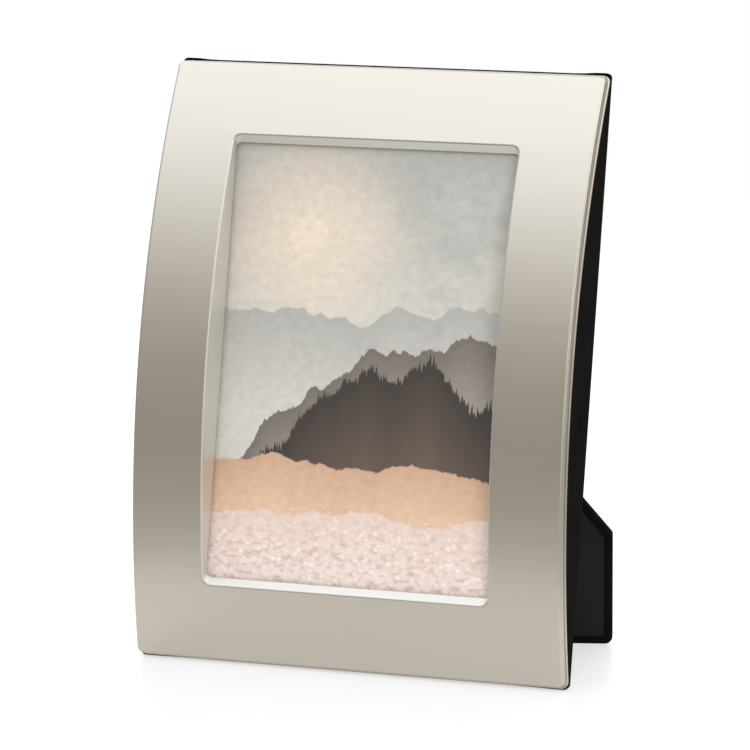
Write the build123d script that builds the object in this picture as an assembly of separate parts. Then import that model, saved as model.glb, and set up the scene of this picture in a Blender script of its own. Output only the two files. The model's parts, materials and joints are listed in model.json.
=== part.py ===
from build123d import *
from math import atan, cos, degrees, radians, sin, sqrt, tan
import os

# Bow-fronted desk photo frame that stands on a two-way easel leg.
# The pieces are drawn with the frame upright: X to the right, Y to the back from the rear plane,
# Z up from the lower rear edge. Last of all, the frame is leaned back about that edge.
# All sizes are in millimetres and all angles in degrees.

# Print, window and borders
print_w = 127.0
print_h = 177.8
window_lap = 6.35
window_corner_r = 2.2
window_mouth_r = 3.8
side_border = 29.0
end_border = 30.8

# Bowed face plate
bow = 19.6
end_depth = 7.7
plate_t = 0.9
plate_corner_r = 2.4
roll_r = 1.2
bead_out = 0.25
bead_depth = 0.7
lip_end_slope = 54.0
lip_side_slope = 2.0
lip_rim_r = 0.8

# Stack behind the window
glass_clear = 0.3
glass_t = 2.0
print_t = 0.3
card_t = 1.5
bay_play = 0.4

# Core, adhesive strips and velvet; the core stands a little proud of the plate all round
core_side_out = 0.1
core_top_out = 1.1
core_bottom_out = 0.45
core_corner_r = 1.8
core_rim_t = 2.6
velvet_t = 0.6
velvet_edge = 0.4
tape_t = 0.4
tape_w = 12.0
glue_line = 0.02
nose_fit = 0.3
ledge_min_t = 2.0
ledge_fit = 0.5

# Lift-out back
board_t = 3.0
door_lap = 3.5
door_play = 0.3
door_corner_r = 2.0

# Turn buttons and their screws
button_t = 0.8
button_w = 8.0
button_reach = 12.0
button_tail = 4.0
button_gap = 0.15
button_play = 0.05
pivot_inset = 7.0
rail_shift = 25.0
stile_shift = 35.0
screw_r = 1.5
screw_len = 5.0
screw_head_r = 3.2
screw_head_h = 1.6
screw_slot_w = 0.8
screw_slot_depth = 0.7

# Strut hinge
lean = 11.0
hinge_tilt = 39.0
hinge_inset = 48.2
hinge_drop = 75.0
hinge_len = 36.0
knuckles = 5
leaf_t = 0.8
leaf_reach = 15.0
leaf_corner_r = 2.0
pin_r = 0.8
pin_play = 0.05
knuckle_gap = 0.3
leaf_lift = 0.4
stop_len = 3.5
stop_gap = 0.15
rivet_r = 1.0
rivet_play = 0.05
rivet_head_r = 1.9
rivet_head_h = 0.9
rivet_spread = 22.0
rivet_row = 9.0

# Easel leg
leg_w = 57.2
leg_gap = 2.3
leg_lift = 0.6
leg_board_t = 2.4
hem_w = 2.6
lining_t = 0.5
lining_play = 0.2
foot_r = 3.0
leg_corner_r = 2.0
leaf_notch_play = 0.3

# Sizes that follow
window_w = print_w - 2 * window_lap
window_h = print_h - 2 * window_lap
plate_w = window_w + 2 * side_border
plate_h = window_h + 2 * end_border
frame_w = plate_w + 2 * core_side_out
frame_h = plate_h + core_top_out + core_bottom_out
mid_z = core_bottom_out + plate_h / 2
core_mid_z = frame_h / 2
bay_w = print_w + 2 * bay_play
bay_h = print_h + 2 * bay_play
door_w = print_w + 2 * door_lap
door_h = print_h + 2 * door_lap
door_bay_w = door_w + 2 * door_play
door_bay_h = door_h + 2 * door_play
door_t = board_t + velvet_t

bow_r = ((plate_h / 2) ** 2 + bow**2) / (2 * bow)
bow_axis_y = bow_r - bow - end_depth
full_depth = end_depth + bow
flange_depth = bow_r - sqrt((core_rim_t + bow_axis_y) ** 2 + (frame_h - mid_z) ** 2)


def bow_depth(rise, offset):
    """Distance from the rear plane to the bowed surface, offset inwards, at a rise from its crown."""
    return sqrt((bow_r - offset) ** 2 - rise**2) - bow_axis_y


glass_front = bow_depth(print_h / 2, plate_t) - glass_clear
print_front = glass_front - glass_t
card_front = print_front - print_t
pad_front = card_front - card_t
lip_reach = full_depth - glass_front + roll_r

# Strut geometry: the leg's foot edge lies flat when the hinge opens by this angle
leg_open = 2 * degrees(atan(tan(radians(lean)) / cos(radians(hinge_tilt))))
hinge_x = hinge_inset - door_w / 2
hinge_z = mid_z + door_h / 2 - hinge_drop
knuckle_r = pin_r + pin_play + leaf_t
pin_y = leaf_lift + knuckle_r
knuckle_len = hinge_len / knuckles
leg_board_y = leg_lift + velvet_t
leg_back_y = leg_board_y + leg_board_t
leg_t = leg_board_t + 2 * velvet_t
hinge_plane = Plane(
    origin=(hinge_x, 0, hinge_z),
    x_dir=(cos(radians(hinge_tilt)), 0, sin(radians(hinge_tilt))),
    z_dir=(0, 1, 0),
)


# Shared shapes
def bow_cylinder(offset):
    """Everything behind the bowed surface, offset inwards from the front of the plate."""
    return Pos(0, bow_axis_y, mid_z) * Rot(0, 90, 0) * Cylinder(bow_r - offset, 2 * frame_w)


def panel(width, height, corner, rear, thickness, middle=mid_z):
    """A flat panel with rounded corners, centred on a height, from its rear depth forwards."""
    sheet = Plane(origin=(0, -rear, middle), x_dir=(1, 0, 0), z_dir=(0, -1, 0))
    return extrude(sheet * RectangleRounded(width, height, corner), amount=thickness)


def bowed_block(width, height, corner, rear, offset, middle=mid_z):
    """A panel carried forwards to the bowed surface."""
    return panel(width, height, corner, rear, full_depth + roll_r, middle) & bow_cylinder(offset)


def core_block(inset, rear, offset):
    """The core's bowed block, drawn in on all sides by an inset."""
    width = frame_w - 2 * inset
    height = frame_h - 2 * inset
    return bowed_block(width, height, core_corner_r - inset, rear, offset, core_mid_z)


def plate_block(inset, rear, offset):
    """The face plate's bowed block, drawn in on all sides by an inset."""
    width = plate_w - 2 * inset
    height = plate_h - 2 * inset
    return bowed_block(width, height, plate_corner_r - inset, rear, offset)


def bay(width, height, rear, front):
    """A square-cornered pocket centred on the window, between two depths."""
    return Pos(0, -(rear + front) / 2, mid_z) * Box(width, front - rear, height)


def side_slab(side, inner, outer, z_low, z_high, rear, front):
    """A box on one side of the frame, from an inner to an outer distance from its middle."""
    centre = Pos(side * (inner + outer) / 2, -(rear + front) / 2, (z_low + z_high) / 2)
    return centre * Box(outer - inner, front - rear, z_high - z_low)


# Bowed face plate with rolled edge, flange and window lip
def window_taper(wall):
    """The window's tapered space, grown by a wall, from the glass out through the plate."""
    grow_x = wall / cos(radians(lip_side_slope))
    grow_z = wall / cos(radians(lip_end_slope))
    spread_x = lip_reach * tan(radians(lip_side_slope))
    spread_z = lip_reach * tan(radians(lip_end_slope))
    at_glass = Plane(origin=(0, -glass_front, mid_z), x_dir=(1, 0, 0), z_dir=(0, -1, 0))
    width = window_w + 2 * grow_x
    height = window_h + 2 * grow_z
    corner_rise = bow_depth(window_h / 2, 0) - glass_front
    spread_r = (window_mouth_r - window_corner_r) * lip_reach / corner_rise
    corner = window_corner_r + wall
    inner = at_glass * RectangleRounded(width, height, corner)
    outer = at_glass.offset(lip_reach) * RectangleRounded(
        width + 2 * spread_x, height + 2 * spread_z, corner + spread_r
    )
    return loft([inner, outer], ruled=True)


def make_face_plate():
    block = plate_block(0, 0, 0)
    front = block.faces().sort_by(Axis.Y)[0]
    block = fillet(front.edges(), roll_r)
    bead = plate_block(-bead_out, 0, flange_depth - bead_depth)
    behind = bow_cylinder(flange_depth) & bay(2 * frame_w, 2 * frame_h, -1, full_depth)
    hollow = plate_block(plate_t, 0, plate_t) + behind
    plate = block + bead - (hollow - window_taper(plate_t)) - window_taper(0)
    front = plate.faces().sort_by(Axis.Y)[0]
    return fillet(front.inner_wires()[0].edges(), lip_rim_r)


# Core: two bowed stiles with glass ledges, and two rails between them
def make_core():
    body = core_block(velvet_t, velvet_t, flange_depth + glue_line)
    nose = plate_block(plate_t + nose_fit, velvet_t, plate_t + tape_t)
    return body + nose - bay(door_bay_w, door_bay_h, 0, door_t)


def make_stile(core, side):
    outer = side_slab(side, bay_w / 2, frame_w, 0, frame_h, 0, full_depth)
    ledge_inner = window_w / 2 + lip_reach * tan(radians(lip_side_slope)) + plate_t + ledge_fit
    ledge_rise = sqrt(
        (bow_r - plate_t - tape_t) ** 2 - (glass_front + ledge_min_t + bow_axis_y) ** 2
    )
    ledge = side_slab(
        side, ledge_inner, frame_w, mid_z - ledge_rise, mid_z + ledge_rise, glass_front, full_depth
    )
    return core & (outer + ledge)


def make_rail(core, end):
    middle = mid_z + end * (bay_h / 2 + frame_h / 2)
    return core & (Pos(0, -full_depth / 2, middle) * Box(bay_w, full_depth, frame_h))


# Adhesive strips between the plate and the core
def tape_layer():
    outer = bow_cylinder(plate_t + glue_line)
    return outer - bow_cylinder(plate_t + tape_t - glue_line)


def make_side_tape(layer, side):
    inner = bay_w / 2 + nose_fit
    return layer & side_slab(
        side, inner, inner + tape_w, mid_z - bay_h / 2, mid_z + bay_h / 2, 0, 2 * full_depth
    )


def make_end_tape(layer, end):
    middle = mid_z + end * (bay_h / 2 + nose_fit + tape_w / 2)
    return layer & (Pos(0, -full_depth, middle) * Box(bay_w, 2 * full_depth, tape_w))


# Velvet strips round the edges of the core, mitred where they turn on to its rear
def make_edge_velvet():
    cover = core_block(0, 0, flange_depth + glue_line)
    rear = cover.faces().sort_by(Axis.Y)[-1]
    cover = chamfer(rear.edges(), velvet_edge)
    return cover - core_block(velvet_t, velvet_t, 0) - bay(door_bay_w, door_bay_h, 0, door_t)


def mitre_wedge(side_x, side_z):
    """The quarter of the frame that faces one way, cut along the mitres at its two corners."""
    inner_x = door_bay_w / 2
    inner_z = door_bay_h / 2
    outer_x = frame_w - inner_x
    outer_top = 2 * (frame_h - mid_z) - inner_z
    outer_bottom = 2 * mid_z - inner_z
    if side_x:
        corners = [(inner_x, inner_z), (outer_x, outer_top), (outer_x, -outer_bottom), (inner_x, -inner_z)]
        corners = [(side_x * x, z) for x, z in corners]
    else:
        outer_z = outer_top if side_z > 0 else outer_bottom
        corners = [(inner_x, inner_z), (outer_x, outer_z), (-outer_x, outer_z), (-inner_x, inner_z)]
        corners = [(x, side_z * z) for x, z in corners]
    sheet = Plane(origin=(0, full_depth, mid_z), x_dir=(1, 0, 0), z_dir=(0, -1, 0))
    return extrude(sheet * make_face(Polyline(corners, close=True)), amount=3 * full_depth)


# Turn buttons: each one pivots on a screw in the rim and reaches over the edge of the back
rim_x = door_bay_w / 2 + pivot_inset
rim_z = door_bay_h / 2 + pivot_inset
button_places = {
    "top": (rail_shift, mid_z + rim_z, 0),
    "bottom": (-rail_shift, mid_z - rim_z, 180),
    "left": (-rim_x, mid_z - stile_shift, 270),
    "right": (rim_x, mid_z + stile_shift, 90),
}


def pivot_plane(place):
    """Plane on the rear of the rim at a pivot, with its X towards the back board's edge."""
    x, z, turn = button_places[place]
    inward = (-sin(radians(turn)), 0, -cos(radians(turn)))
    return Plane(origin=(x, 0, z), x_dir=inward, z_dir=(0, 1, 0))


def make_button(place):
    length = button_reach + button_tail
    plan = Pos((button_reach - button_tail) / 2, 0) * SlotOverall(length, button_w)
    plan = plan - Circle(screw_r + button_play)
    tab = extrude(plan, amount=button_t)
    return pivot_plane(place) * Pos(0, 0, button_gap) * tab


def make_screw(place):
    head_z = 2 * button_gap + button_t
    bottom = (Align.CENTER, Align.CENTER, Align.MIN)
    head = Pos(0, 0, head_z) * Cylinder(screw_head_r, screw_head_h, align=bottom)
    slot = Pos(0, 0, head_z + screw_head_h) * Box(3 * screw_head_r, screw_slot_w, 2 * screw_slot_depth)
    shank = Pos(0, 0, -screw_len) * Cylinder(screw_r, screw_len + head_z, align=bottom)
    return pivot_plane(place) * (head - slot + shank)


def screw_holes(radius):
    """Holes for all the screws, from behind the rear plane to the ends of the screws."""
    bottom = (Align.CENTER, Align.CENTER, Align.MIN)
    hole = Pos(0, 0, -screw_len - glue_line) * Cylinder(radius, 2 * screw_len, align=bottom)
    return [pivot_plane(place) * hole for place in button_places]


# Strut hinge, drawn with X along the pin, Y down the leg and Z backwards from the rear plane
def knuckle_slab(index, y_low, y_high, z_low, z_high, gap):
    """A box across one knuckle of the hinge, less a gap at each end."""
    length = knuckle_len - 2 * gap
    middle = (index - (knuckles - 1) / 2) * knuckle_len
    place = Pos(middle, (y_low + y_high) / 2, (z_low + z_high) / 2)
    return place * Box(length, y_high - y_low, z_high - z_low)


def knuckle_barrel(index):
    middle = (index - (knuckles - 1) / 2) * knuckle_len
    tube = Cylinder(knuckle_r, knuckle_len - knuckle_gap) - Cylinder(pin_r + pin_play, knuckle_len)
    return Pos(middle, 0, pin_y) * Rot(0, 90, 0) * tube


def rivet_points(row):
    return [(side * rivet_spread / 2, row) for side in (-1, 1)]


def rivet_cuts(row, z_low, z_high):
    """Holes for the two rivets of a leaf."""
    bottom = (Align.CENTER, Align.CENTER, Align.MIN)
    hole = Cylinder(rivet_r + rivet_play, z_high - z_low, align=bottom)
    return [Pos(x, y, z_low) * hole for x, y in rivet_points(row)]


def make_rivets(row, z_low, z_high):
    """Two flat-head rivets, headed at the back and flush at the front."""
    bottom = (Align.CENTER, Align.CENTER, Align.MIN)
    rivet = Pos(0, 0, z_high) * Cylinder(rivet_head_r, rivet_head_h, align=bottom)
    rivet = rivet + Pos(0, 0, z_low) * Cylinder(rivet_r, z_high - z_low, align=bottom)
    return [Pos(x, y, 0) * rivet for x, y in rivet_points(row)]


def swung(shape):
    """A piece of the folded leg, swung open about the hinge pin."""
    return Pos(0, 0, pin_y) * Rot(leg_open, 0, 0) * Pos(0, 0, -pin_y) * shape


leaf_clear = knuckle_r + knuckle_gap
back_row = -rivet_row
leg_row = rivet_row


def make_back_leaf():
    middle = (-leaf_reach - leaf_clear) / 2
    sheet = Rectangle(hinge_len - knuckle_gap, leaf_reach - leaf_clear)
    sheet = fillet(sheet.vertices().group_by(Axis.Y)[0], leaf_corner_r)
    leaf = extrude(Pos(0, middle) * sheet, amount=leaf_t)
    for index in range(0, knuckles, 2):
        leaf += knuckle_slab(index, -leaf_clear, pin_r, 0, leaf_t, knuckle_gap / 2)
        leaf += knuckle_barrel(index)
    bore = Pos(0, 0, pin_y) * Rot(0, 90, 0) * Cylinder(pin_r + pin_play, 2 * hinge_len)
    return leaf - bore - rivet_cuts(back_row, -leaf_t, 2 * leaf_t)


def make_leg_leaf():
    middle = (leaf_reach + leaf_clear) / 2
    sheet = Rectangle(hinge_len - knuckle_gap, leaf_reach - leaf_clear)
    sheet = fillet(sheet.vertices().group_by(Axis.Y)[-1], leaf_corner_r)
    leaf = Pos(0, 0, leaf_lift) * extrude(Pos(0, middle) * sheet, amount=leaf_t)
    for index in range(1, knuckles, 2):
        leaf += knuckle_slab(
            index, 0, leaf_clear, leaf_lift, leaf_lift + leaf_t, knuckle_gap / 2
        )
        leaf += knuckle_barrel(index)
    leaf = swung(leaf - rivet_cuts(leg_row, 0, 3 * leaf_t))
    stop_low = leaf_t + stop_gap
    for index in range(1, knuckles, 2):
        leaf += knuckle_slab(
            index, -leaf_clear - stop_len, 0, stop_low, stop_low + leaf_t, knuckle_gap
        )
    bore = Pos(0, 0, pin_y) * Rot(0, 90, 0) * Cylinder(pin_r + pin_play, 2 * hinge_len)
    return leaf - bore


# Easel leg: a strip across the back that ends in a square corner, so either edge can be the foot
def foot_reach():
    """Distance down the leg from the pin to its corner, which puts the foot edge on the table."""
    tilt = radians(hinge_tilt)
    swing = radians(leg_open)
    back = radians(lean)
    inner = leg_lift - pin_y
    height = cos(back) * hinge_z - sin(back) * pin_y
    height += inner * (cos(tilt) * sin(swing) * cos(back) - sin(back) * cos(swing))
    return height / (cos(tilt) * cos(swing) * cos(back) + sin(swing) * sin(back))


def leg_outline(inset):
    """The leg's outline, drawn in by an inset."""
    half = leg_w / 2
    corner = foot_reach()
    slope = tan(radians(hinge_tilt))
    right_end = (half, corner - half / slope)
    left_end = (-half, corner - half * slope)
    top_right = (half, leg_gap)
    top_left = (-half, leg_gap)
    outline = make_face(
        Polyline([top_left, top_right, right_end, (0, corner), left_end], close=True)
    )
    foot = outline.vertices().sort_by(Axis.Y)[-1]
    others = [vertex for vertex in outline.vertices() if vertex != foot]
    outline = fillet(others, leg_corner_r)
    foot = outline.vertices().sort_by(Axis.Y)[-1]
    outline = fillet(foot, foot_r)
    return offset(outline, amount=-inset, kind=Kind.INTERSECTION) if inset else outline


def leg_layer(inset, z_low, thickness):
    return Pos(0, 0, z_low) * extrude(leg_outline(inset), amount=thickness)


def leaf_notch():
    """Clear space round the hinge's leg leaf, through the hem and the lining."""
    width = hinge_len + 2 * leaf_notch_play
    reach = leaf_reach + leaf_notch_play
    return Pos(0, reach / 2, leg_board_y - velvet_t / 2) * Box(width, reach, velvet_t)


def make_leg_velvet():
    cover = leg_layer(0, leg_lift, leg_t)
    board = leg_layer(velvet_t + glue_line, leg_board_y, leg_board_t)
    window = leg_layer(velvet_t + hem_w, leg_lift, velvet_t)
    return cover - board - window - leaf_notch() - rivet_cuts(leg_row, 0, 2 * leg_t)


def make_leg_lining():
    sheet = leg_layer(velvet_t + hem_w + lining_play, leg_board_y - lining_t, lining_t)
    return sheet - leaf_notch()


def make_leg_board():
    board = leg_layer(velvet_t + 2 * glue_line, leg_board_y, leg_board_t)
    return board - rivet_cuts(leg_row, 0, 2 * leg_t)


# All the pieces, upright
core = make_core() - screw_holes(screw_r + glue_line)
velvet = make_edge_velvet() - screw_holes(screw_r + button_play)
layer = tape_layer()
on_hinge = hinge_plane.location
back_holes = [on_hinge * cut for cut in rivet_cuts(back_row, -door_t - glue_line, leaf_t)]
pieces = {"face_plate": make_face_plate()}
for name, side in (("left", -1), ("right", 1)):
    pieces["stile_" + name] = make_stile(core, side)
    pieces["tape_" + name] = make_side_tape(layer, side)
    pieces["edge_velvet_" + name] = velvet & mitre_wedge(side, 0)
for name, end in (("bottom", -1), ("top", 1)):
    pieces["rail_" + name] = make_rail(core, end)
    pieces["tape_" + name] = make_end_tape(layer, end)
    pieces["edge_velvet_" + name] = velvet & mitre_wedge(0, end)

pieces["glass_pane"] = bay(print_w, print_h, print_front, glass_front)
pieces["photo_print"] = bay(print_w, print_h, card_front, print_front)
pieces["backing_card"] = bay(print_w, print_h, pad_front, card_front)
pieces["corrugated_pad"] = bay(print_w, print_h, door_t, pad_front)
pieces["back_board"] = panel(door_w, door_h, door_corner_r, velvet_t, board_t) - back_holes
pieces["back_velvet"] = panel(door_w, door_h, door_corner_r, 0, velvet_t) - back_holes

for place in button_places:
    pieces["turn_button_" + place] = make_button(place)
pieces["turn_screws"] = [make_screw(place) for place in button_places]

pieces["hinge_back_leaf"] = on_hinge * make_back_leaf()
pin_bar = Pos(0, 0, pin_y) * Rot(0, 90, 0) * Cylinder(pin_r, hinge_len)
pieces["hinge_pin"] = on_hinge * pin_bar
pieces["back_rivets"] = [on_hinge * rivet for rivet in make_rivets(back_row, -door_t, leaf_t)]
pieces["hinge_leg_leaf"] = on_hinge * make_leg_leaf()
leg_rivets = make_rivets(leg_row, leaf_lift, leg_back_y + velvet_t)
pieces["leg_rivets"] = [on_hinge * swung(rivet) for rivet in leg_rivets]
pieces["leg_board"] = on_hinge * swung(make_leg_board())
pieces["leg_velvet"] = on_hinge * swung(make_leg_velvet())
pieces["leg_lining"] = on_hinge * swung(make_leg_lining())

# Lean the frame back, and put the origin under the middle of it on the table
leaned = {}
for name, piece in pieces.items():
    group = piece if isinstance(piece, list) else [piece]
    leaned[name] = [Rot(-lean, 0, 0) * solid for member in group for solid in member.solids()]
box = Compound([solid for group in leaned.values() for solid in group]).bounding_box()
to_origin = Pos(0, -box.center().Y, 0)

os.makedirs("parts", exist_ok=True)
for name, group in leaned.items():
    export_step(Compound([to_origin * solid for solid in group]), "parts/" + name + ".step")
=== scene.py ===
# %% [markdown]
# Bow-fronted desk photo frame. The imported CAD model comes in as a fixed frame, in metres: the bowed
# metal face, the glass and its stack, the hinge, the screws and the turn buttons are already there at
# their real size. This lesson gives every surface its finish, replaces the plain solids that stand for
# cloth by modelled cloth, and lights the result like a product photograph.

# %% Load the frame
import bpy
import json
import math
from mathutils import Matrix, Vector, noise


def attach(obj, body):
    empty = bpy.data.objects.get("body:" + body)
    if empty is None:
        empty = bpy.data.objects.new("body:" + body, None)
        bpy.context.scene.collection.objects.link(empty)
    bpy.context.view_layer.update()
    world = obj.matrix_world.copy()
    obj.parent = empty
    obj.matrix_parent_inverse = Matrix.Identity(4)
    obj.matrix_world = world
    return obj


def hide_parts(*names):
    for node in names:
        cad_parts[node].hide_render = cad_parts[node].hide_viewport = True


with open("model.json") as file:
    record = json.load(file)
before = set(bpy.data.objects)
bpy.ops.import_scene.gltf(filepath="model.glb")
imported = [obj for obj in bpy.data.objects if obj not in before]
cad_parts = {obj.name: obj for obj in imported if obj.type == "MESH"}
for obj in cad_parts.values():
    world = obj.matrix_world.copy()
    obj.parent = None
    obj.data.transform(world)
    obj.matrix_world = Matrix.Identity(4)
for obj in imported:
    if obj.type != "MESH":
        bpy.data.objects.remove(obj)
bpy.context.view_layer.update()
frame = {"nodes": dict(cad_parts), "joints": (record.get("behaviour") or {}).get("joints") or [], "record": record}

nodes = frame["nodes"]
joints = {joint["name"]: joint for joint in frame["joints"]}

# %% [markdown]
# The frame leans back, so plain X, Y and Z are awkward for placing cloth on it. Three directions of
# the leaning frame are easier: to its right, straight out of its back, and up along it. The screws of
# the turn buttons point straight out of the back, so their joints give that direction. The origin of
# these directions is the lower rear edge, on which the frame stands.

# %% Directions of the leaning frame
RIGHT = Vector((1.0, 0.0, 0.0))
REAR = Vector(joints["button_top"]["axis"])
UP = Vector((0.0, -REAR.z, REAR.y))


def span(node, direction):
    """Lowest and highest reach of a CAD node along a direction."""
    reach = [vertex.co.dot(direction) for vertex in nodes[node].data.vertices]
    return min(reach), max(reach)


STAND_EDGE = REAR * span("edge_velvet_left", REAR)[1] + UP * span("edge_velvet_bottom", UP)[0]


def on_frame(across, rear, up):
    """A point given by its distances to the right, behind the rear plane and above the stand edge."""
    return STAND_EDGE + RIGHT * across + REAR * rear + UP * up


def frame_span(node, direction):
    """A node's reach along one of the frame's directions, measured from the stand edge."""
    return [reach - STAND_EDGE.dot(direction) for reach in span(node, direction)]


lean = math.degrees(math.asin(-REAR.z))
print("lean", round(lean, 2), "degrees, stand edge", [round(value, 6) for value in STAND_EDGE])

# %% [markdown]
# The camera stands where the photograph was taken from: a little to the frame's right, a little above
# it, and so far away that the edges stay nearly parallel. Its place was found by matching the model's
# edges to the photograph's, so it is written as two angles, a distance and a focal length.

# %% Camera
VIEW_AZIMUTH = math.radians(21.547)
VIEW_ELEVATION = math.radians(8.960)
VIEW_DISTANCE = 1.86385
VIEW_TARGET = STAND_EDGE + Vector((0.00846, 0.0, 0.11324))
FOCAL_PIXELS = 5005.5
IMAGE_PIXELS = 750
SENSOR_MM = 36.0


def towards(azimuth, elevation):
    """Unit vector from the object: azimuth 0 is straight in front, and turns to its right."""
    level = math.cos(elevation)
    return Vector((math.sin(azimuth) * level, -math.cos(azimuth) * level, math.sin(elevation)))


def link(made):
    bpy.context.scene.collection.objects.link(made)
    return made


def aim(thing, place, way):
    """Puts a camera or a lamp at a place and turns it one way."""
    thing.location = place
    thing.rotation_mode = "QUATERNION"
    thing.rotation_quaternion = way.to_track_quat("-Z", "Y")


def add_camera():
    outward = towards(VIEW_AZIMUTH, VIEW_ELEVATION)
    data = bpy.data.cameras.new("photo_camera")
    data.sensor_width = SENSOR_MM
    data.lens = FOCAL_PIXELS / IMAGE_PIXELS * SENSOR_MM
    data.clip_start = 0.05
    data.clip_end = 50.0
    camera = link(bpy.data.objects.new("photo_camera", data))
    aim(camera, VIEW_TARGET + outward * VIEW_DISTANCE, -outward)
    bpy.context.scene.camera = camera
    return camera


camera = add_camera()
bpy.context.scene.view_settings.view_transform = "Standard"
print("lens", round(camera.data.lens, 1), "mm at", [round(value, 3) for value in camera.location])

# %% [markdown]
# Every finish below is a node tree. A few small helpers keep those trees readable: one adds a node and
# fills its inputs with links or plain values, one does sums, some mix values or colours and draw soft
# noise, and one starts a node group, which is a shared effect with its own named inputs and outputs.

# %% Helpers for node trees
def fill(tree, socket, value):
    """Links a socket into another, or sets a plain value on it."""
    if isinstance(value, bpy.types.NodeSocket):
        tree.links.new(value, socket)
    else:
        socket.default_value = value


def node(tree, kind, inputs=None, **settings):
    made = tree.nodes.new("ShaderNode" + kind)
    for name, value in settings.items():
        setattr(made, name, value)
    for name, value in (inputs or {}).items():
        fill(tree, made.inputs[name], value)
    return made


def sums(tree, operation, *values):
    made = tree.nodes.new("ShaderNodeMath")
    made.operation = operation
    for socket, value in zip(made.inputs, values):
        fill(tree, socket, value)
    return made.outputs[0]


def times(tree, first, second):
    return sums(tree, "MULTIPLY", first, second)


def blend(tree, first, second, share):
    """Two values added up: a share of the second, and the rest of the first."""
    rest = times(tree, first, 1 - share)
    return sums(tree, "ADD", rest, times(tree, second, share))


def mix_colours(tree, share, first, second):
    made = tree.nodes.new("ShaderNodeMix")
    made.data_type = "RGBA"
    for index, value in ((0, share), (6, first), (7, second)):
        fill(tree, made.inputs[index], value)
    return made.outputs[2]


def from_to(tree, value, old, new=(0.0, 1.0), smooth=False):
    """A value carried from one range to another, held at the ends."""
    kind = "SMOOTHSTEP" if smooth else "LINEAR"
    ends = {"From Min": old[0], "From Max": old[1], "To Min": new[0], "To Max": new[1]}
    return node(tree, "MapRange", {"Value": value, **ends}, interpolation_type=kind).outputs["Result"]


def scaled_place(tree, place, scale):
    """Coordinates multiplied by a factor for each axis."""
    return node(tree, "VectorMath", {0: place, 1: scale}, operation="MULTIPLY").outputs["Vector"]


def dot(tree, vector, direction):
    return node(tree, "VectorMath", {0: vector, 1: direction}, operation="DOT_PRODUCT").outputs["Value"]


def object_place(tree):
    return node(tree, "TexCoord").outputs["Object"]


def noise_at(tree, place, scale, detail, **more):
    """Soft noise from nought to one; the larger the scale, the finer it is."""
    inputs = {"Vector": place, "Scale": scale, "Detail": detail, **more}
    return node(tree, "TexNoise", inputs).outputs["Fac"]


def start_group(name, inputs, outputs):
    """A shader node group. Returns its tree, its input sockets to read and its output sockets to fill."""
    group = bpy.data.node_groups.new(name, "ShaderNodeTree")
    for label, value in inputs.items():
        kind = "NodeSocketVector" if isinstance(value, tuple) else "NodeSocketFloat"
        group.interface.new_socket(name=label, in_out="INPUT", socket_type=kind).default_value = value
    for label in outputs:
        group.interface.new_socket(name=label, in_out="OUTPUT", socket_type="NodeSocketFloat")
    source = group.nodes.new("NodeGroupInput")
    sink = group.nodes.new("NodeGroupOutput")
    return group, source.outputs, sink.inputs


def use_group(tree, group, inputs):
    made = tree.nodes.new("ShaderNodeGroup")
    made.node_tree = group
    for name, value in inputs.items():
        fill(tree, made.inputs[name], value)
    return made.outputs


def start_material(name, plain):
    """A new material and its shader, with the values that are the same all over the surface."""
    material = bpy.data.materials.new(name)
    material.use_nodes = True
    shader = material.node_tree.nodes["Principled BSDF"]
    for socket, value in plain.items():
        shader.inputs[socket].default_value = value
    return material, material.node_tree, shader


def bump(tree, shader, height, strength, depth):
    made = node(tree, "Bump", {"Height": height, "Strength": strength, "Distance": depth})
    fill(tree, shader.inputs["Normal"], made.outputs["Normal"])


# %% [markdown]
# Brushed metal gets its look from countless fine scratches that all run one way. They are made here as
# noise that is squeezed hard across the scratches and stretched along them. Two layers are enough: a
# broad one for the faint bands that still show from a step away, and a fine one for close views. The
# face and the small plated fittings both use it, so it is a group.

# %% Streaks group
def make_streaks_group():
    inputs = {"Place": (0.0, 0.0, 0.0), "Along": 30.0, "Across": 2000.0}
    tree, given, result = start_group("brush streaks", inputs, ("Broad", "Fine"))
    for label, coarser in (("Broad", 0.3), ("Fine", 1.0)):
        across = times(tree, given["Across"], coarser)
        scale = node(tree, "CombineXYZ", {"X": given["Along"], "Y": across, "Z": across})
        place = scaled_place(tree, given["Place"], scale.outputs["Vector"])
        fill(tree, result[label], noise_at(tree, place, scale=1.0, detail=2.0, Roughness=0.6))
    return tree


streaks_group = make_streaks_group()
print("group:", streaks_group.name, [item.name for item in streaks_group.interface.items_tree])

# %% [markdown]
# The face is a warm, champagne-toned metal, brushed from side to side and satin rather than mirror
# bright. It is a plain metallic shader: its tone runs from bright to dark up the bow only because the
# bow mirrors another part of the studio at each height. The streaks vary the roughness and the tint a
# little, and tip the surface by a hair. The lip round the window was drawn down after brushing, so it
# is duller. It is also given a lighter colour, which is painted reflection that lifts the lip to the
# brightness it mirrors. A mask finds the lip, because it doesn't face the front and lies near the window.

# %% Champagne metal
crown = sum(frame_span("glass_pane", UP)) / 2
LIP_HALF_WIDTH = 0.065
LIP_HALF_HEIGHT = 0.095
LIP_TURNED = (0.82, 0.86)
# Painted reflection: the lip's lighter colour lifts it to the brightness it would mirror.
LIP_PAINTED_REFLECTION_COLOUR = (0.81, 0.785, 0.725, 1.0)
LIP_DULLNESS = 0.25
SATIN = (0.27, 0.31)


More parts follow.
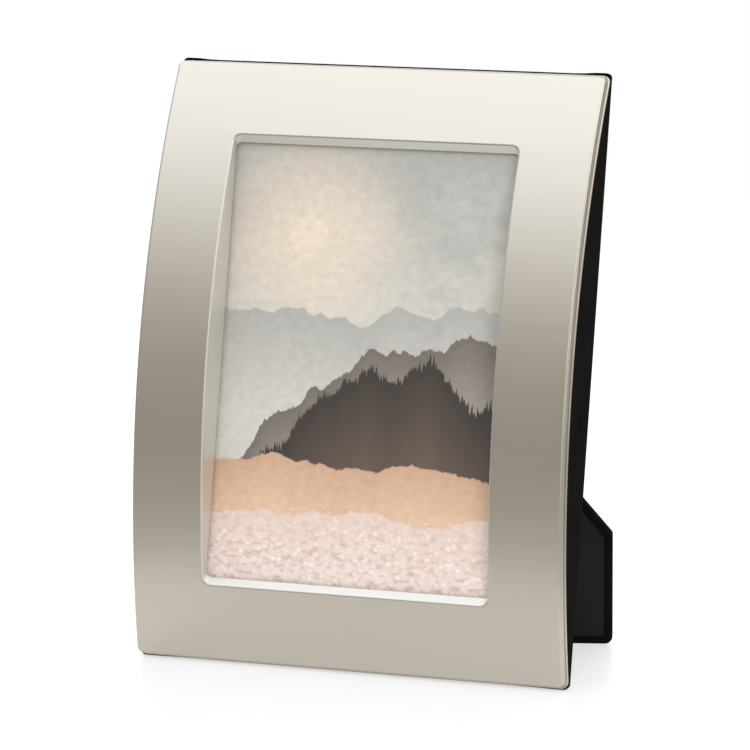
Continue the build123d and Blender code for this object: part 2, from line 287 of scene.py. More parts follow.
def lip_mask(tree):
    """One on the lip that runs down from the face to the glass, and nought elsewhere."""
    place = node(tree, "TexCoord").outputs
    aside = sums(tree, "ABSOLUTE", dot(tree, place["Object"], RIGHT))
    rise = sums(tree, "SUBTRACT", dot(tree, place["Object"], UP), STAND_EDGE.dot(UP) + crown)
    beside = sums(tree, "LESS_THAN", aside, LIP_HALF_WIDTH)
    above = sums(tree, "LESS_THAN", sums(tree, "ABSOLUTE", rise), LIP_HALF_HEIGHT)
    turned = from_to(tree, dot(tree, place["Normal"], -REAR), LIP_TURNED, (1.0, 0.0))
    return times(tree, turned, times(tree, beside, above))


def make_champagne_metal():
    material, tree, shader = start_material("champagne_metal", {"Metallic": 1.0})
    place = object_place(tree)
    streaks = use_group(tree, streaks_group, {"Place": place, "Along": 9.0, "Across": 3400.0})
    grain = blend(tree, streaks["Broad"], streaks["Fine"], 0.4)
    tint = from_to(tree, grain, (0.3, 0.7))
    brushed = mix_colours(tree, tint, (0.594, 0.546, 0.470, 1.0), (0.612, 0.563, 0.486, 1.0))
    lip = lip_mask(tree)
    # The lip gets the lighter colour, which is painted reflection; its duller roughness below is real.
    fill(tree, shader.inputs["Base Color"], mix_colours(tree, lip, brushed, LIP_PAINTED_REFLECTION_COLOUR))
    worn = blend(tree, grain, noise_at(tree, place, scale=14.0, detail=2.0), 0.4)
    satin = from_to(tree, worn, (0.3, 0.7), SATIN)
    roughness = sums(tree, "ADD", satin, times(tree, lip, LIP_DULLNESS))
    fill(tree, shader.inputs["Roughness"], roughness)
    bump(tree, shader, grain, strength=0.015, depth=0.00002)
    return material


finishes = {}


def add_finish(slot, material):
    finishes[slot] = material
    print("finish:", material.name)


add_finish("champagne_metal", make_champagne_metal())

# %% [markdown]
# The hinge, its pin, the rivets, the screws and the turn buttons are stamped and turned from sheet and
# wire, then dull-nickel plated. The plating is a cooler grey than the face, its streaks are shorter,
# and it is a little rubbed and spotted.

# %% Nickel plate
def make_nickel_plate():
    material, tree, shader = start_material("nickel_plate", {"Metallic": 1.0})
    place = object_place(tree)
    streaks = use_group(tree, streaks_group, {"Place": place, "Along": 350.0, "Across": 5000.0})
    rubbed = from_to(tree, noise_at(tree, place, scale=700.0, detail=4.0), (0.35, 0.65))
    colour = mix_colours(tree, rubbed, (0.56, 0.535, 0.49, 1.0), (0.66, 0.64, 0.595, 1.0))
    fill(tree, shader.inputs["Base Color"], colour)
    fill(tree, shader.inputs["Roughness"], from_to(tree, rubbed, (0.0, 1.0), (0.40, 0.28)))
    bump(tree, shader, streaks["Fine"], strength=0.15, depth=0.00004)
    return material


add_finish("nickel_plate", make_nickel_plate())

# %% [markdown]
# Dark cloth collects lint. A cell pattern picks a few of its cells at random and shows a tiny speck at
# the heart of each one. Velvet and lining share it, with other counts.

# %% Lint group
def make_lint_group():
    inputs = {"Place": (0.0, 0.0, 0.0), "Cells": 90.0, "Chosen": 0.06, "Size": 0.03}
    tree, given, result = start_group("lint specks", inputs, ("Specks",))
    cells = node(tree, "TexVoronoi", {"Vector": given["Place"], "Scale": given["Cells"]})
    draw = node(tree, "SeparateColor", {"Color": cells.outputs["Color"]}).outputs["Red"]
    chosen = sums(tree, "LESS_THAN", draw, given["Chosen"])
    near = sums(tree, "LESS_THAN", cells.outputs["Distance"], given["Size"])
    fill(tree, result["Specks"], times(tree, chosen, near))
    return tree


lint_group = make_lint_group()
print("group:", lint_group.name)

# %% [markdown]
# The edges, the back and the leg are covered with black short-pile velvet. Velvet is nearly lightless
# when seen straight on, and shows a soft grey bloom where it is seen along the surface, so most of its
# look is a very dark base colour and a little sheen. The pile is a fine bump, and large soft patches,
# where the pile was stroked the other way, change the tone slightly.

# %% Velvet
def make_velvet():
    plain = {"Roughness": 0.95, "Specular IOR Level": 0.02, "Sheen Weight": 0.005, "Sheen Roughness": 0.45}
    plain["Sheen Tint"] = (0.55, 0.52, 0.50, 1.0)
    material, tree, shader = start_material("velvet", plain)
    place = object_place(tree)
    pile = noise_at(tree, place, scale=3600.0, detail=2.0)
    nap = noise_at(tree, place, scale=45.0, detail=3.0)
    shade = from_to(tree, blend(tree, pile, nap, 0.5), (0.35, 0.65))
    cloth = mix_colours(tree, shade, (0.0030, 0.0027, 0.0025, 1.0), (0.0078, 0.0071, 0.0067, 1.0))
    lint = use_group(tree, lint_group, {"Place": place, "Cells": 110.0, "Chosen": 0.05, "Size": 0.022})
    colour = mix_colours(tree, lint["Specks"], cloth, (0.16, 0.155, 0.15, 1.0))
    fill(tree, shader.inputs["Base Color"], colour)
    bump(tree, shader, pile, strength=0.5, depth=0.00012)
    return material


add_finish("velvet", make_velvet())

# %% [markdown]
# The inner face of the leg is lined with a flat, closely woven black cloth, a touch lighter than the
# velvet hem round it. Its threads are two sets of waves at right angles, about three threads to a
# millimetre, on coordinates that run along the leg. These coordinates are stored on the cloth as its
# UV map, in metres.

# %% Lining
THREADS_PER_METRE = 1500.0


def make_lining():
    plain = {"Roughness": 0.85, "Specular IOR Level": 0.10, "Sheen Weight": 0.02, "Sheen Roughness": 0.5}
    material, tree, shader = start_material("lining", plain)
    place = node(tree, "TexCoord").outputs["UV"]
    parts = node(tree, "SeparateXYZ", {"Vector": place})
    threads = []
    for axis in ("X", "Y"):
        turn = times(tree, parts.outputs[axis], THREADS_PER_METRE * math.tau)
        threads.append(sums(tree, "SINE", turn))
    weave = from_to(tree, times(tree, *threads), (-1.0, 1.0))
    tone = blend(tree, weave, noise_at(tree, place, scale=60.0, detail=3.0), 0.4)
    cloth = mix_colours(tree, tone, (0.0060, 0.0054, 0.0050, 1.0), (0.0170, 0.0153, 0.0142, 1.0))
    lint = use_group(tree, lint_group, {"Place": place, "Cells": 130.0, "Chosen": 0.05, "Size": 0.025})
    colour = mix_colours(tree, lint["Specks"], cloth, (0.15, 0.145, 0.14, 1.0))
    fill(tree, shader.inputs["Base Color"], colour)
    bump(tree, shader, weave, strength=0.35, depth=0.00008)
    return material


add_finish("lining", make_lining())

# %% [markdown]
# The black-dyed boards, the grey backing card and the kraft sheet with flutes are pressed fibre, and the
# tape looks much like it. They share a group that gives short fibres lying every way, and each one has
# its own colours. The flutes are a wave across the sheet, both in its bump and in its colour; the
# colour wave is painted shade, lighter on the crests and darker in the troughs.

# %% Fibre group and boards
FLUTES_PER_METRE = 140.0
FLUTE_PAINTED_SHADE = 0.12
BOARDS = [
    # name, dark and light colour, roughness
    ("core_board", (0.006, 0.0055, 0.005, 1), (0.022, 0.020, 0.018, 1), 0.8),
    ("card", (0.40, 0.385, 0.36, 1), (0.62, 0.60, 0.565, 1), 0.9),
    ("corrugated", (0.36, 0.25, 0.15, 1), (0.58, 0.43, 0.28, 1), 0.9),
    ("adhesive_tape", (0.70, 0.69, 0.64, 1), (0.86, 0.85, 0.81, 1), 0.7),
]


def make_fibre_group():
    inputs = {"Place": (0.0, 0.0, 0.0), "Scale": 700.0}
    tree, given, result = start_group("pressed fibre", inputs, ("Fibre", "Cloud"))
    grown = node(tree, "VectorMath", {0: given["Place"], "Scale": given["Scale"]}, operation="SCALE")
    place = grown.outputs["Vector"]
    drift = node(tree, "TexNoise", {"Vector": place, "Scale": 0.8, "Detail": 2.0}).outputs["Color"]
    bent = node(tree, "VectorMath", {0: place, 1: drift}, operation="ADD").outputs["Vector"]
    fibre = node(tree, "TexVoronoi", {"Vector": bent, "Scale": 1.0}, feature="DISTANCE_TO_EDGE")
    fill(tree, result["Fibre"], from_to(tree, fibre.outputs["Distance"], (0.0, 0.25), (1.0, 0.0)))
    fill(tree, result["Cloud"], noise_at(tree, place, scale=0.05, detail=4.0))
    return tree


fibre_group = make_fibre_group()


def make_board(name, dark, light, roughness, flutes):
    material, tree, shader = start_material(name, {"Roughness": roughness, "Specular IOR Level": 0.3})
    place = object_place(tree)
    fibre = use_group(tree, fibre_group, {"Place": place})
    tone = blend(tree, fibre["Fibre"], fibre["Cloud"], 0.55)
    height = fibre["Fibre"]
    if flutes:
        across = node(tree, "SeparateXYZ", {"Vector": place}).outputs["X"]
        wave = sums(tree, "SINE", times(tree, across, FLUTES_PER_METRE * math.tau))
        # Painted shade: the colour follows the flutes, lighter on the crests and darker in the troughs.
        tone = sums(tree, "ADD", tone, times(tree, wave, FLUTE_PAINTED_SHADE))
        height = sums(tree, "ADD", height, wave)
    fill(tree, shader.inputs["Base Color"], mix_colours(tree, tone, dark, light))
    bump(tree, shader, height, strength=0.4, depth=0.0001)
    return material


for name, dark, light, roughness in BOARDS:
    add_finish(name, make_board(name, dark, light, roughness, flutes=name == "corrugated"))

# %% [markdown]
# The glass is a plain clear pane. Real light bends through it and reaches the print; a renderer only
# finds that light by luck, so for shadow and diffuse rays the pane is swapped for a clear, slightly
# tinted one. Looked at directly, it is real glass with its gloss.

# %% Glass
GLASS_IOR = 1.25


def make_glass():
    plain = {"Roughness": 0.0, "IOR": GLASS_IOR, "Transmission Weight": 1.0}
    plain["Base Color"] = (0.985, 0.995, 0.99, 1.0)
    material, tree, shader = start_material("glass", plain)
    path = node(tree, "LightPath").outputs
    unseen = sums(tree, "MAXIMUM", path["Is Shadow Ray"], path["Is Diffuse Ray"])
    clear = node(tree, "BsdfTransparent", {"Color": (0.97, 0.98, 0.975, 1.0)})
    swap = node(tree, "MixShader", {0: unseen, 1: shader.outputs["BSDF"], 2: clear.outputs["BSDF"]})
    fill(tree, tree.nodes["Material Output"].inputs["Surface"], swap.outputs["Shader"])
    return material


add_finish("glass", make_glass())

# %% [markdown]
# The print behind the glass is a sample picture: layered hills under a pale grey sky, with warm and
# blush tones. It needs no image. One group draws a ridge: a line of noise across the picture, a mask
# of all that lies below it, and how far below. Each range of hills is one use of that group, with its
# own crest height and relief, painted over the range behind it from the sky forwards.

# %% Ridge group
RIDGE_SHAPE = ("Crest", "Relief", "Peaks", "Start", "Haze", "Dome", "Middle", "Trees")
CREST_BLUR = 0.004


def make_ridge_group():
    inputs = {label: 0.5 for label in ("Across", "Up", *RIDGE_SHAPE)}
    tree, given, result = start_group("ridge", inputs, ("Cover", "Below"))
    along = sums(tree, "ADD", times(tree, given["Across"], given["Peaks"]), given["Start"])
    jagged = {"W": along, "Scale": 1.0, "Detail": 5.0, "Roughness": 0.5}
    line = node(tree, "TexNoise", jagged, noise_dimensions="1D").outputs["Fac"]
    spiky = {"W": along, "Scale": 34.0, "Detail": 1.0}
    tops = node(tree, "TexNoise", spiky, noise_dimensions="1D").outputs["Fac"]
    aside = sums(tree, "SUBTRACT", given["Across"], given["Middle"])
    fall = times(tree, times(tree, aside, aside), given["Dome"])
    crest = sums(tree, "SUBTRACT", given["Crest"], fall)
    crest = sums(tree, "ADD", crest, times(tree, tops, given["Trees"]))
    relief = times(tree, sums(tree, "SUBTRACT", line, 0.5), given["Relief"])
    drop = sums(tree, "SUBTRACT", sums(tree, "ADD", crest, relief), given["Up"])
    fill(tree, result["Cover"], from_to(tree, drop, (0.0, CREST_BLUR), smooth=True))
    below = sums(tree, "DIVIDE", drop, given["Haze"])
    fill(tree, result["Below"], from_to(tree, below, (0.0, 1.0)))
    return tree


ridge_group = make_ridge_group()
print("group:", ridge_group.name)

# %% [markdown]
# The ranges run from far to near. Far ones are pale and hazy, the near ones dark brown, and the
# meadows in front are warm: haze lightens a range towards its foot, as morning mist does. The paper
# itself is semi-gloss, with a slight grain.

# %% Print
HILL_RANGES = [
    # the eight numbers of RIDGE_SHAPE, colour at the crest, colour at the foot
    (0.62, 0.22, 2.6, 2.3, 0.22, 0.00, 0.50, 0.000, (0.410, 0.385, 0.365, 1), (0.590, 0.557, 0.520, 1)),
    (0.56, 0.22, 3.4, 7.9, 0.26, 0.45, 0.86, 0.010, (0.155, 0.128, 0.114, 1), (0.420, 0.365, 0.325, 1)),
    (0.47, 0.20, 4.6, 4.4, 0.24, 0.85, 0.64, 0.040, (0.032, 0.024, 0.020, 1), (0.120, 0.082, 0.063, 1)),
    (0.29, 0.14, 2.4, 9.1, 0.15, 0.00, 0.50, 0.006, (0.560, 0.345, 0.228, 1), (0.750, 0.510, 0.365, 1)),
    (0.18, 0.13, 2.0, 5.7, 0.18, 0.00, 0.50, 0.006, (0.730, 0.560, 0.500, 1), (0.830, 0.690, 0.635, 1)),
]
SKY_LOW = (0.580, 0.545, 0.502, 1.0)
SKY_HIGH = (0.410, 0.392, 0.374, 1.0)
SKY_BAND = (0.55, 0.95)
SUN_PLACE = (0.30, 0.77, 0.0)
SUN_GLOW = (0.760, 0.625, 0.505, 1.0)
SUN_HALO = (0.05, 0.42)
SUN_RIM = (0.060, 0.064)
BLOSSOM = (0.900, 0.790, 0.735, 1.0)
STEMS = (0.520, 0.345, 0.290, 1.0)
MEADOW_TOP = (0.10, 0.22)
MOTTLE_SHARE = 3.0


def paint_sky(tree, place, up):
    """A clouded sky with a pale sun."""
    streaky = scaled_place(tree, place, (2.2, 6.0, 1.0))
    cloud = noise_at(tree, streaky, scale=1.6, detail=6.0, Roughness=0.6)
    height = sums(tree, "ADD", up, from_to(tree, cloud, (0.25, 0.75), (-0.16, 0.16)))
    sky = mix_colours(tree, from_to(tree, height, SKY_BAND, smooth=True), SKY_LOW, SKY_HIGH)
    from_sun = node(tree, "VectorMath", {0: place, 1: SUN_PLACE}, operation="SUBTRACT").outputs["Vector"]
    from_sun = scaled_place(tree, from_sun, (1.0, 1.4, 0.0))
    distance = node(tree, "VectorMath", {0: from_sun}, operation="LENGTH").outputs["Value"]
    glow = from_to(tree, distance, SUN_HALO, (0.75, 0.0), smooth=True)
    disc = from_to(tree, distance, SUN_RIM, (1.0, 0.0), smooth=True)
    return mix_colours(tree, sums(tree, "MAXIMUM", glow, disc), sky, SUN_GLOW)


def paint_flowers(tree, place, up, colour):
    """Drifts of blossom and stems on the nearest meadow."""
    cells = {"Vector": scaled_place(tree, place, (55.0, 95.0, 1.0)), "Scale": 1.0}
    from_heart = node(tree, "TexVoronoi", cells).outputs["Distance"]
    drifts = noise_at(tree, scaled_place(tree, place, (5.0, 22.0, 1.0)), scale=5.0, detail=4.0)
    low = from_to(tree, up, MEADOW_TOP, (1.0, 0.0))
    meadow = times(tree, low, from_to(tree, drifts, (0.42, 0.56)))
    bloom = from_to(tree, from_heart, (0.15, 0.40), (1.0, 0.0), smooth=True)
    stems = from_to(tree, from_heart, (0.45, 0.75), (0.0, 0.55), smooth=True)
    colour = mix_colours(tree, times(tree, stems, meadow), colour, STEMS)
    return mix_colours(tree, times(tree, bloom, meadow), colour, BLOSSOM)


def make_print():
    material, tree, shader = start_material("print", {"Roughness": 0.5, "Specular IOR Level": 0.2})
    place = node(tree, "TexCoord").outputs["UV"]
    parts = node(tree, "SeparateXYZ", {"Vector": place})
    across, up = parts.outputs["X"], parts.outputs["Y"]
    colour = paint_sky(tree, place, up)
    for *shape, high, low in HILL_RANGES:
        inputs = {"Across": across, "Up": up, **dict(zip(RIDGE_SHAPE, shape))}
        ridge = use_group(tree, ridge_group, inputs)
        colour = mix_colours(tree, ridge["Cover"], colour, mix_colours(tree, ridge["Below"], high, low))
    colour = paint_flowers(tree, place, up, colour)
    grain = noise_at(tree, place, scale=420.0, detail=1.0)
    mottle = noise_at(tree, scaled_place(tree, place, (7.0, 12.0, 1.0)), scale=5.0, detail=6.0)
    uneven = sums(tree, "ADD", grain, times(tree, mottle, MOTTLE_SHARE))
    lift = from_to(tree, uneven, (1.2, 2.8), (0.90, 1.10))
    colour = node(tree, "VectorMath", {0: colour, "Scale": lift}, operation="SCALE").outputs["Vector"]
    fill(tree, shader.inputs["Base Color"], colour)
    bump(tree, shader, grain, strength=0.05, depth=0.00002)
    return material


add_finish("print", make_print())
print("ranges of hills:", len(HILL_RANGES))

# %% [markdown]
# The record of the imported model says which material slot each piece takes, so the finishes are handed
# out in one loop. The stamped and turned fittings also get a weld, because the model comes in with its
# faces split, and a hair of bevel: real sheet metal never ends in a knife edge.

# %% Dress the CAD nodes
FITTING_BEVEL = 0.00012
HEAD_BEVEL = 0.00035
HEADED = ("turn_screws", "back_rivets", "leg_rivets")


def soften(fitting, width):
    weld = fitting.modifiers.new("weld", "WELD")
    weld.merge_threshold = 1e-6
    bevel = fitting.modifiers.new("worn edges", "BEVEL")
    bevel.width = width
    bevel.segments = 3
    bevel.limit_method = "ANGLE"
    bevel.angle_limit = math.radians(30)
    bevel.harden_normals = True


for part in frame["record"]["subparts"]:
    piece = nodes[part["node"]]
    piece.data.materials.clear()
    piece.data.materials.append(finishes[part["material_slot"]])
    if part["material_slot"] == "nickel_plate":
        soften(piece, HEAD_BEVEL if part["node"] in HEADED else FITTING_BEVEL)

# %% [markdown]
# The cloth pieces are built point by point. A strip of cloth is a grid: rows along the strip, columns
# across it. These helpers make a piece of points and faces, draw a rectangle and a rounded edge, store a
# UV map and give a sheet a little thickness.

# %% Helpers for cloth
def make_mesh(name, points, faces, material):
    mesh = bpy.data.meshes.new(name)
    mesh.from_pydata([tuple(point) for point in points], [], faces)
    mesh.materials.append(material)
    return mesh


def add_piece(name, points, faces, slot):
    mesh = make_mesh(name, points, faces, finishes[slot])
    mesh.validate()
    mesh.shade_smooth()
    piece = link(bpy.data.objects.new(name, mesh))
    return piece


def grid_faces(rows, columns, closed=False, skip=lambda row, column: False):
    """Quads of a grid whose points are stored row after row; closed joins the last row to the first."""
    faces = []
    for row in range(rows if closed else rows - 1):
        following = (row + 1) % rows
        for column in range(columns - 1):
            if skip(row, column):
                continue
            first = row * columns + column
            second = following * columns + column
            faces.append((first, first + 1, second + 1, second))
    return faces


def rectangle(half, low, high):
    """Corners about the middle line, counter-clockwise from the lower left one."""
    return [(-half, low), (half, low), (half, high), (-half, high)]


ROUND_STEPS = 5


def quarter_round(radius):
    """Insets and depths along a rounded edge, from the side of a board on to its flat."""
    turns = [math.pi / 2 * step / (ROUND_STEPS - 1) for step in range(ROUND_STEPS)]
    return [(radius * (1 - math.cos(turn)), radius * (1 - math.sin(turn))) for turn in turns]


def map_places(piece, name, places):
    """Stores one place per point as the piece's UV map."""
    layer = piece.data.uv_layers.new(name=name)
    for loop in piece.data.loops:
        layer.data[loop.index].uv = places[loop.vertex_index]


def thicken(piece, thickness):
    solid = piece.modifiers.new("thickness", "SOLIDIFY")
    solid.thickness = thickness
    solid.offset = -1.0
    solid.use_even_offset = True


def lay_cloth(piece, body, stands_for):
    """Attaches a sheet of cloth to the body of its board, and hides the CAD piece that it stands for."""
    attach(piece, body)
    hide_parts(stands_for)


# %% [markdown]
# Each edge of the core is covered with one strip of velvet. It starts under the bead of the metal
# face, runs back over the edge, turns the corner, and ends at the rebate of the lift-out back. On the
# rear the four strips meet in mitres. The strip is widest where the bow is deepest, so its front edge
# follows the bow. At the four corners the cloth is folded over itself and stands a little proud; below,
# it also sags by a hair between the metal and the floor.

# %% Edge velvet
CORE_CORNER = 0.0018
VELVET_THICKNESS = 0.0005
VELVET_TUCK = 0.0003
EDGE_ROUND = 0.0006
BOW_RADIUS = 0.33756
DOOR_PLAY = 0.0003
FOLD_PROUD = 0.00045
FOLD_REACH = 0.013
FOLD_RAMP = 0.6
FOLD_HEIGHT = 0.002
LOW_FOLD_REACH = 0.025
LOW_SAG = 0.0002
FLOOR_SHARE = 0.8
PILE_DEPTH = 0.00004
PILE_GRAIN = 900.0
STRIP_STEPS = 40
STRIP_CORNER_STEPS = 4
SIDE_STEPS = 10
REAR_STEPS = 12

core_half = frame_span("edge_velvet_right", RIGHT)[1]
core_top = frame_span("edge_velvet_top", UP)[1]
bay_half = frame_span("back_board", RIGHT)[1] + DOOR_PLAY
bay_low, bay_high = frame_span("back_board", UP)
bay_low -= DOOR_PLAY
bay_high += DOOR_PLAY
plate_front = -frame_span("face_plate", REAR)[0]
velvet_front = -frame_span("edge_velvet_right", REAR)[0]
print("core", round(2 * core_half, 4), "by", round(core_top, 4), "velvet reaches", round(velvet_front, 5))


def velvet_edge_depth(up):
    """How far in front of the rear plane the velvet ends under the bead, at a height."""
    radius = BOW_RADIUS - (plate_front - velvet_front)
    return velvet_front - radius + math.sqrt(radius**2 - (up - crown) ** 2)


def between(start, end, share):
    return tuple(a + (b - a) * share for a, b in zip(start, end))


def edge_ends(corners, quarter):
    """The two corners of one edge: quarter 0 is the right edge, and they go on counter-clockwise."""
    return corners[(quarter + 1) % 4], corners[(quarter + 2) % 4]


def strip_outline(quarter):
    """Points and outward directions along one edge, from mid-corner to mid-corner, counter-clockwise."""
    facing = quarter * math.pi / 2
    inner = rectangle(core_half - CORE_CORNER, CORE_CORNER, core_top - CORE_CORNER)
    start, end = edge_ends(inner, quarter)
    turns = [math.pi / 4 * step / STRIP_CORNER_STEPS for step in range(STRIP_CORNER_STEPS + 1)]
    places = [(start, facing + turn - math.pi / 4) for turn in turns]
    places += [(between(start, end, step / STRIP_STEPS), facing) for step in range(1, STRIP_STEPS)]
    places += [(end, facing + turn) for turn in turns]
    outline = []
    for centre, angle in places:
        outward = (math.cos(angle), math.sin(angle))
        place = (centre[0] + CORE_CORNER * outward[0], centre[1] + CORE_CORNER * outward[1])
        outline.append((place, outward))
    return outline


def fold_swell(across, up):
    """How far the doubled cloth stands out at the two upper corners."""
    near_end = (abs(across) - (core_half - FOLD_REACH)) / (FOLD_REACH * FOLD_RAMP)
    near_top = (up - (core_top - FOLD_HEIGHT)) / FOLD_HEIGHT
    share = max(0.0, min(1.0, near_end)) * max(0.0, min(1.0, near_top))
    return FOLD_PROUD * share * share * (3 - 2 * share)


def low_swell(across, up, depth):
    """How far the cloth stands out below, within the room that the leaning frame leaves above the floor."""
    near_end = max(0.0, 1 - (core_half - abs(across)) / LOW_FOLD_REACH)
    near_floor = max(0.0, 1 - up / FOLD_HEIGHT)
    room = -REAR.z * depth * FLOOR_SHARE
    return min((LOW_SAG + FOLD_PROUD * near_end**2) * near_floor, room)


def pile_dip(across, depth, up):
    """How far the uneven tips of the pile lie below the smooth surface."""
    return PILE_DEPTH * (0.5 + 0.5 * noise.noise(Vector((across, depth, up)) * PILE_GRAIN))


def strip_row(place, outward, inner):
    """One row across a strip: from the bead over the edge, round the corner and on to the rear."""
    across, up = place
    front = velvet_edge_depth(up)
    swell = fold_swell(across, up)
    profile = []
    for step in range(SIDE_STEPS):
        depth = front + (EDGE_ROUND - front) * step / SIDE_STEPS
        profile.append((depth, swell + low_swell(across, up, depth)))
    for step, (inset, depth) in enumerate(quarter_round(EDGE_ROUND)):
        profile.append((depth, swell * (1 - step / (ROUND_STEPS - 1)) - inset))
    row = []
    for depth, proud in profile:
        out = proud - pile_dip(across, depth, up)
        row.append(on_frame(across + outward[0] * out, -depth, up + outward[1] * out))
    rim = (across - outward[0] * EDGE_ROUND, up - outward[1] * EDGE_ROUND)
    for step in range(1, REAR_STEPS + 1):
        spot = between(rim, inner, step / REAR_STEPS)
        tuck = VELVET_TUCK if step == REAR_STEPS else 0.0
        row.append(on_frame(spot[0], -pile_dip(spot[0], 0.0, spot[1]) - tuck, spot[1]))
    return row


def make_edge_velvet(name, quarter):
    outline = strip_outline(quarter)
    first, last = edge_ends(rectangle(bay_half, bay_low, bay_high), quarter)
    rows = []
    for index, (place, outward) in enumerate(outline):
        rows.append(strip_row(place, outward, between(first, last, index / (len(outline) - 1))))
    points = [point for row in rows for point in row]
    piece = add_piece("velvet_edge_" + name, points, grid_faces(len(rows), len(rows[0])), "velvet")
    thicken(piece, VELVET_THICKNESS)
    lay_cloth(piece, "frame", "edge_velvet_" + name)


EDGES = [("right", "stile_right"), ("top", "rail_top"), ("left", "stile_left"), ("bottom", "rail_bottom")]
for quarter, (name, board) in enumerate(EDGES):
    make_edge_velvet(name, quarter)

# %% [markdown]
# The back board and the leg are flat boards with cloth drawn over them. Both outlines are polygons
# with rounded corners, so one function draws such an outline at any inset: it shifts every side
# inwards, meets the neighbours again, and rounds each corner. Rings of points at growing insets then
# give the rounded edge and the hem.

# %% Rounded outlines
CORNER_STEPS = 6
LEAST_RADIUS = 0.0003


def rounded_outline(corners, radii, inset, side_points):
    """Points round a counter-clockwise polygon, inset and with rounded corners.

    side_points gives, for each side, the shares of its length at which it has points of its own."""
    count = len(corners)
    lines = []
    for index in range(count):
        start, end = Vector(corners[index]), Vector(corners[(index + 1) % count])
        along = (end - start).normalized()
        inward = Vector((-along.y, along.x))
        lines.append((start + inward * inset, along))
    moved = []
    for index in range(count):
        (first, first_way), (second, second_way) = lines[index - 1], lines[index]
        cross = first_way.x * second_way.y - first_way.y * second_way.x
        gap = second - first
        share = (gap.x * second_way.y - gap.y * second_way.x) / cross
        moved.append(first + first_way * share)
    outline = []
    for index in range(count):
        before, after = lines[index - 1][1], lines[index][1]
        radius = max(radii[index] - inset, LEAST_RADIUS)
        turn = before.angle(after)
        setback = radius * math.tan(turn / 2)
        start = moved[index] - before * setback
        centre = start + Vector((-before.y, before.x)) * radius
        heading = math.atan2(before.y, before.x) - math.pi / 2
        for step in range(CORNER_STEPS + 1):
            angle = heading + turn * step / CORNER_STEPS
            outline.append(centre + Vector((math.cos(angle), math.sin(angle))) * radius)
        for share in side_points[index]:
            outline.append(moved[index].lerp(moved[(index + 1) % count], share))
    return outline


EVEN = [step / 8 for step in range(1, 8)]
square = rounded_outline(rectangle(0.5, 0, 1), [0.1] * 4, 0, [EVEN] * 4)
print("a square gives", len(square), "points")

# %% [markdown]
# The sheet metal of the face ends in a narrow rolled bead, which catches the light as a fine bright
# line all round. The CAD plate has a square step there, and a square edge catches no light, so a
# half-round strip is laid over that step. It follows the bow up both sides.

# %% Rolled bead
PLATE_CORNER = 0.0024
PLATE_STEP = 0.00025
BEAD_PROUD = 0.00032
BEAD_HALF_WIDTH = 0.00046
BEAD_THICKNESS = 0.0002
BEAD_FORWARD = 0.7
BEAD_STEPS = 8
FINE = [step / 36 for step in range(1, 36)]


def make_bead():
    half = frame_span("face_plate", RIGHT)[1] - PLATE_STEP
    low, high = frame_span("face_plate", UP)
    corners = rectangle(half, low + PLATE_STEP, high - PLATE_STEP)
    rings = []
    for step in range(BEAD_STEPS + 1):
        angle = math.pi * (step / BEAD_STEPS - 0.5)
        proud = BEAD_PROUD * math.cos(angle)
        forward = BEAD_HALF_WIDTH * (BEAD_FORWARD + math.sin(angle))
        outline = rounded_outline(corners, [PLATE_CORNER] * 4, -proud, [EVEN, FINE, EVEN, FINE])
        depths = [velvet_edge_depth(point.y) + forward for point in outline]
        rings.append([on_frame(point.x, -depth, point.y) for point, depth in zip(outline, depths)])
    points = [ring[index] for index in range(len(rings[0])) for ring in rings]
    faces = grid_faces(len(rings[0]), len(rings), closed=True)
    bead = add_piece("edge_bead", points, faces, "champagne_metal")
    thicken(bead, BEAD_THICKNESS)
    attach(bead, "frame")
    print("bead", round(2 * half, 4), "by", round(high - low - 2 * PLATE_STEP, 4), "points", len(points))


make_bead()

# %% [markdown]
# The back board's velvet is one flat sheet, turned down over the board's edge. It is a stack of rings:
# the edge, the rounding, then rings on the flat that close in towards the middle.

# %% Back velvet
DOOR_CORNER = 0.002
BACK_RINGS = (0.0012, 0.004, 0.010, 0.022, 0.040)


def ring_piece(name, rings, slot, skip=lambda row, column: False):
    """A piece made of rings with as many points each; the last ring is closed with one face."""
    count = len(rings[0])
    points = [ring[index] for index in range(count) for ring in rings]
    faces = grid_faces(count, len(rings), closed=True, skip=skip)
    faces.append([index * len(rings) + len(rings) - 1 for index in reversed(range(count))])
    return add_piece(name, points, faces, slot)


def make_back_velvet():
    half = frame_span("back_velvet", RIGHT)[1]
    low, high = frame_span("back_velvet", UP)
    edge = (0.0, -frame_span("back_velvet", REAR)[0])
    levels = [edge] + quarter_round(EDGE_ROUND) + [(inset, 0.0) for inset in BACK_RINGS]
    rings = []
    for inset, level in levels:
        outline = rounded_outline(rectangle(half, low, high), [DOOR_CORNER] * 4, inset, [EVEN] * 4)
        rings.append([on_frame(point.x, -level, point.y) for point in outline])
    piece = ring_piece("velvet_back", rings, "velvet")
    thicken(piece, VELVET_THICKNESS)
    lay_cloth(piece, "frame", "back_velvet")


make_back_velvet()

# %% [markdown]
# The leg swings on the hinge, so its cloth is placed along the hinge's own directions: along the pin,
# down the leg and out of its back. The joint in the record gives the pin and how far the leg stands
# open. The leg is a strip that ends in a square corner, so that the frame can stand upright or on its
# side. Velvet covers its back and edges and is turned in as a hem on its inner face, except where the
# hinge leaf is riveted on.

# %% Directions of the leg
PIN = Vector(joints["leg_hinge"]["pos_m"])
PIN_WAY = Vector(joints["leg_hinge"]["axis"])
leg_open = -math.radians(joints["leg_hinge"]["range_deg"][0])
folded_down = REAR.cross(PIN_WAY)
LEG_DOWN = folded_down * math.cos(leg_open) + REAR * math.sin(leg_open)
LEG_OUT = REAR * math.cos(leg_open) - folded_down * math.sin(leg_open)
leg_tilt = math.asin(PIN_WAY.dot(UP))


def on_leg(along, down, out):
    """A point given by its distances along the pin, down the leg and out of its back."""
    return PIN + PIN_WAY * along + LEG_DOWN * down + LEG_OUT * out


def leg_span(node, direction):
    return [reach - PIN.dot(direction) for reach in span(node, direction)]


